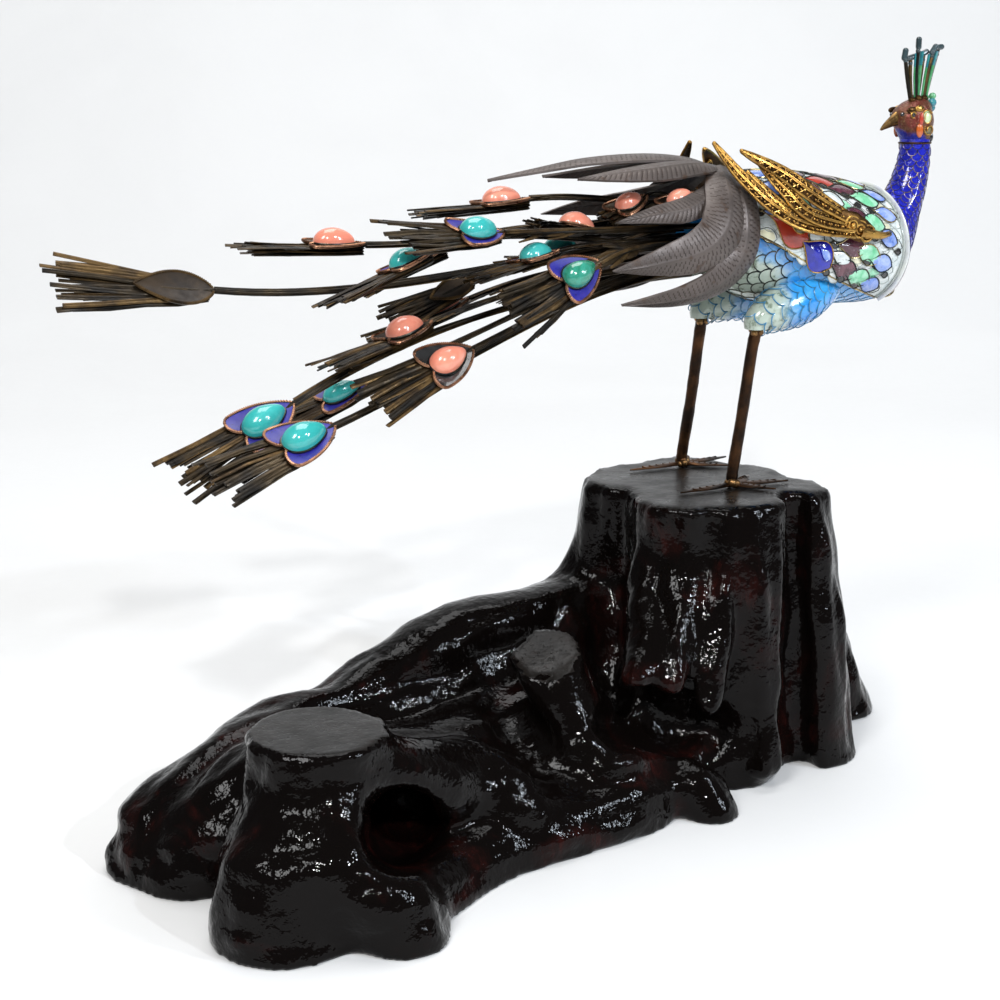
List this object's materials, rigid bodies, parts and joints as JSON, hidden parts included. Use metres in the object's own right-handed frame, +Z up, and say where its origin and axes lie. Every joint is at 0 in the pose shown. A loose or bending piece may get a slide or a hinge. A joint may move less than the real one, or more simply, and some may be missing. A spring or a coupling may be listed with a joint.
{
  "type": "peacock figurine",
  "caption": "Standing peacock figurine of enamelled wire and sheet metal, with a long tail of wire plumes set with cabochons, on a carved and lacquered root-wood stand.",
  "frame": {"origin": "on the ground, in the flat underside of the stand, below the middle of the stump that carries the bird", "axes": "+X the way the bird's breast faces, so the tail runs along -X; -Y the bird's right side, which the picture shows; +Z up"},
  "size_m": [0.183, 0.0875, 0.1406],
  "materials": {
    "root_wood": "very glossy near-black lacquer over carved root wood, dark red where it is thin",
    "sky_enamel": "glossy pale blue enamel on silver, with thin dark wires",
    "cobalt_enamel": "glossy cobalt blue enamel with scale-shaped wires",
    "cape_enamel": "enamel cells of white, mint, blue, purple-brown and orange-red between gilt wires",
    "gilt_copper": "worn gilt over copper, orange-red enamel on the cheeks",
    "bronze_wire": "dark oxidised wire, brown in places",
    "gilt_filigree": "worn gilt filigree with beads",
    "oxidised_silver": "engraved silver, oxidised to dark grey",
    "coral": "polished salmon-coloured stone",
    "turquoise": "polished blue-green stone",
    "green_stone": "polished dark green stone"
  },
  "bodies": {
    "root": {"body_shell": "sky_enamel", "covert_lower_left": "oxidised_silver", "covert_lower_right": "oxidised_silver", "covert_side_left": "oxidised_silver", "covert_side_right": "oxidised_silver", "covert_top": "oxidised_silver", "covert_under_left": "oxidised_silver", "covert_under_right": "oxidised_silver", "covert_upper_left": "oxidised_silver", "covert_upper_right": "oxidised_silver", "crest": "bronze_wire", "feather_cape": "cape_enamel", "head": "gilt_copper", "leg_left": "bronze_wire", "leg_right": "bronze_wire", "neck_and_breast": "cobalt_enamel", "plume_01": "bronze_wire", "plume_02": "bronze_wire", "plume_03": "bronze_wire", "plume_04": "bronze_wire", "plume_05": "bronze_wire", "plume_06": "bronze_wire", "plume_07": "bronze_wire", "plume_08": "bronze_wire", "plume_09": "bronze_wire", "plume_10": "bronze_wire", "plume_11": "bronze_wire", "plume_12": "bronze_wire", "plume_13": "bronze_wire", "plume_14": "bronze_wire", "plume_15": "bronze_wire", "plume_16": "bronze_wire", "plume_17": "bronze_wire", "plume_18": "bronze_wire", "plume_19": "bronze_wire", "root_stand": "root_wood", "stone_02_coral": "coral", "stone_03_turquoise": "turquoise", "stone_04_coral": "coral", "stone_05_coral": "coral", "stone_06_coral": "coral", "stone_07_coral": "coral", "stone_08_green": "green_stone", "stone_09_turquoise": "turquoise", "stone_10_turquoise": "turquoise", "stone_11_turquoise": "turquoise", "stone_12_turquoise": "turquoise", "stone_13_coral": "coral", "stone_14_coral": "coral", "stone_15_coral": "coral", "stone_16_turquoise": "turquoise", "stone_17_turquoise": "turquoise", "stone_18_turquoise": "turquoise", "wing_left": "gilt_filigree", "wing_right": "gilt_filigree"}
  },
  "joints": []
}
